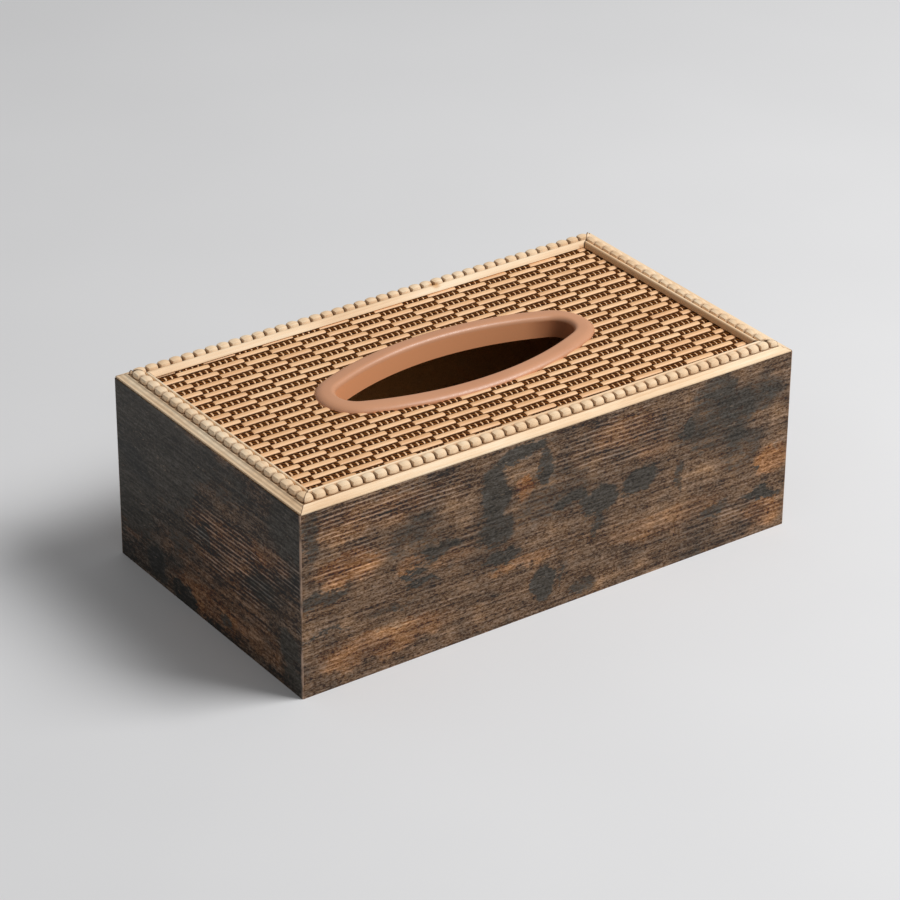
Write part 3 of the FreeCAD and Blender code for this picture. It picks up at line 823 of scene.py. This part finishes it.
# Ring of the mouth: one moulding of satin plastic in a warm clay colour. Its rounded flange lies on
# the mat and hides the cut ends, and its sleeve goes down through the hole of the top board. It was
# set in by hand, a little off the middle and a little askew.
RING_FOOT = 77.7
RING_SEAT = 85.7
RING_TOP = 87.6
SLEEVE_WALL = 1.5
FLANGE_WIDTH = 8.8
SLIMMER_LONG_SIDES = 0.7
SLEEVE_DRAFT = 0.7
SLEEVE_BEND_DROP = 1.0
FOOT_CHAMFER_OUTSIDE = 0.25
FOOT_CHAMFER_INSIDE = 0.3
FLANGE_EDGE = 0.1
FLANGE_ROUND_WIDTH = 4.4
FLANGE_ROUND_HEIGHT = 2.7
LIP_ROUND_WIDTH = 2.3
LIP_ROUND_HEIGHT = 2.4
ROUND_STEPS = 8
END_STEPS = 22
SIDE_STEPS = 56
RING_SHIFT = Vector((0.7, 0.55, 0))
RING_TURN = 0.6
# Where painted light on the lower inner wall and painted shade at its right end start and where they are
# full, in height and along the box
WALL_PAINT_HEIGHTS = (86.2 * MM, 85.0 * MM)
SHADED_END = (44 * MM, 58 * MM)

ring_section = [
    (SLEEVE_WALL, RING_FOOT + FOOT_CHAMFER_OUTSIDE), (SLEEVE_WALL, RING_SEAT),
    (FLANGE_WIDTH - FLANGE_EDGE, RING_SEAT),
]
for step in range(ROUND_STEPS):
    angle = math.pi / 2 * step / ROUND_STEPS
    outwards = FLANGE_WIDTH - FLANGE_ROUND_WIDTH * (1 - math.cos(angle))
    ring_section.append((outwards, RING_TOP - FLANGE_ROUND_HEIGHT * (1 - math.sin(angle))))
for step in range(ROUND_STEPS + 1):
    angle = math.pi / 2 * (1 + step / ROUND_STEPS)
    outwards = LIP_ROUND_WIDTH * (1 + math.cos(angle))
    ring_section.append((outwards, RING_TOP - LIP_ROUND_HEIGHT * (1 - math.sin(angle))))
ring_section += [
    (-SLEEVE_DRAFT / 2, (RING_FOOT + RING_TOP) / 2 - SLEEVE_BEND_DROP),
    (-SLEEVE_DRAFT, RING_FOOT + FOOT_CHAMFER_INSIDE), (FOOT_CHAMFER_INSIDE - SLEEVE_DRAFT, RING_FOOT),
    (SLEEVE_WALL - FOOT_CHAMFER_OUTSIDE, RING_FOOT),
]

end_x, end_radius, side_y, _, slope = oval_arcs(0.0)
outline = []
for outwards, height in ring_section:
    radius = end_radius + outwards
    outline.append((end_x + radius * math.cos(-slope), radius * math.sin(-slope), height))
ring = draw_outline("mouth_oval_ring", outline, filled=False)
bpy.ops.object.mode_set(mode="EDIT")
side_sweep = math.pi - 2 * slope
for centre, sweep, steps in [
    ((end_x, 0, 0), 2 * slope, END_STEPS), ((0, side_y, 0), side_sweep, SIDE_STEPS),
    ((-end_x, 0, 0), 2 * slope, END_STEPS), ((0, -side_y, 0), side_sweep, SIDE_STEPS),
]:
    bpy.ops.mesh.spin(steps=steps, angle=-sweep, center=Vector(centre) * MM, axis=(0, 0, 1))
# Close the seam where the sweep ends on its start
bpy.ops.mesh.select_all(action="SELECT")
bpy.ops.mesh.remove_doubles(threshold=0.01 * MM)
bpy.ops.mesh.normals_make_consistent(inside=False)
bpy.ops.object.mode_set(mode="OBJECT")
for vertex in ring.data.vertices:
    part = max(0.0, abs(vertex.co.y) / MM - MOUTH_HALF_WIDTH) / FLANGE_WIDTH
    vertex.co.y -= math.copysign(SLIMMER_LONG_SIDES * MM * part, vertex.co.y)
ring.data.transform(Matrix.Translation(RING_SHIFT * MM) @ Matrix.Rotation(math.radians(RING_TURN), 4, "Z"))
smooth_within(ring, 40)

clay_finish, tree, surface, place = new_finish("satin_clay_plastic", 0.5)
dimples = noise(tree, place, (900, 900, 900), 2, 0.5)
hue = noise(tree, place, (30, 30, 30), 3, 0.5)
clay = shades(tree, hue, [(0.3, colour(197, 141, 106)), (0.7, colour(207, 151, 115))])
parts = add_node(tree, "SeparateXYZ", {0: place})
# Painted light on the inner wall below the flange, and painted shade on it at the right end, which also
# falls a little on the flange's foot there
wall_painted_light_and_shade = level(tree, parts.outputs[2], *WALL_PAINT_HEIGHTS)
clay = blend(tree, wall_painted_light_and_shade, clay, colour(226, 156, 110))
painted_end_shade = product(tree, wall_painted_light_and_shade, level(tree, parts.outputs[0], *SHADED_END, 0.0, 0.8))
clay = blend(tree, painted_end_shade, clay, colour(140, 84, 54))
tree.links.new(clay, surface.inputs["Base Color"])
tree.links.new(level(tree, dimples, 0.3, 0.7, 0.32, 0.42), surface.inputs["Roughness"])
set_relief(tree, surface, dimples, 0.01)
ring.data.materials.append(clay_finish)
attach(ring, "casing")
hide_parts("mouth_ring")


# Studio: a wide sheet of pale paper for the floor, a large soft lamp high on the right and a dim even
# sky. The camera has a long lens and looks down on the box's front left corner.
FLOOR_SIZE = 14.0
deselect_all()
bpy.ops.mesh.primitive_plane_add(size=FLOOR_SIZE)
floor = bpy.context.object
floor.name = "studio_floor"
paper, tree, surface, place = new_finish("pale_paper", 0.1)
surface.inputs["Roughness"].default_value = 0.9
mottle = noise(tree, place, (6, 6, 6), 2, 0.5)
paper_colour = shades(tree, mottle, [(0.3, colour(224, 224, 225)), (0.7, colour(227, 227, 228))])
tree.links.new(paper_colour, surface.inputs["Base Color"])
floor.data.materials.append(paper)

KEY_SIZE = 1.0
KEY_POWER = 36.5
KEY_DISTANCE = 2.0
KEY_DIRECTION = Vector((0.465, -0.404, 0.788)).normalized()
deselect_all()
bpy.ops.object.light_add(type="AREA", location=KEY_DIRECTION * KEY_DISTANCE)
key = bpy.context.object
key.name = "key_lamp"
key.data.shape = "SQUARE"
key.data.size = KEY_SIZE
key.data.energy = KEY_POWER
key.rotation_euler = KEY_DIRECTION.to_track_quat("Z", "Y").to_euler()

SKY_STRENGTH = 0.27
world = bpy.data.worlds.new("studio_sky")
bpy.context.scene.world = world
world.use_nodes = True
world.node_tree.nodes.clear()
sky = add_node(world.node_tree, "Background", {"Color": colour(255, 255, 255), "Strength": SKY_STRENGTH})
add_node(world.node_tree, "OutputWorld", {"Surface": sky.outputs[0]})
bpy.context.scene.view_settings.view_transform = "Standard"

CAMERA_AZIMUTH = math.radians(-35.3708)
CAMERA_ELEVATION = math.radians(28.6488)
CAMERA_ROLL = math.radians(-0.39133)
CAMERA_LENS = 140.1
CAMERA_FILM = 36.0
CAMERA_NEAREST = 0.01
CAMERA_DISTANCE = 1.4972117
CAMERA_TO_LEFT = 0.0024652
CAMERA_RAISED = 0.0011558
CASE_MIDDLE = Vector((0, 0, 0.042))
backwards = Vector((
    math.sin(CAMERA_AZIMUTH) * math.cos(CAMERA_ELEVATION),
    -math.cos(CAMERA_AZIMUTH) * math.cos(CAMERA_ELEVATION),
    math.sin(CAMERA_ELEVATION),
))
level_right = (-backwards).cross(Vector((0, 0, 1))).normalized()
level_down = (-backwards).cross(level_right)
right = level_right * math.cos(CAMERA_ROLL) + level_down * math.sin(CAMERA_ROLL)
down = level_down * math.cos(CAMERA_ROLL) - level_right * math.sin(CAMERA_ROLL)
eye = CASE_MIDDLE - right * CAMERA_TO_LEFT - down * CAMERA_RAISED + backwards * CAMERA_DISTANCE
deselect_all()
bpy.ops.object.camera_add(location=eye)
camera = bpy.context.object
camera.name = "studio_camera"
camera.data.lens = CAMERA_LENS
camera.data.sensor_width = CAMERA_FILM
camera.data.clip_start = CAMERA_NEAREST
camera.rotation_euler = Matrix((right, -down, backwards)).transposed().to_euler()
bpy.context.scene.camera = camera
deselect_all()
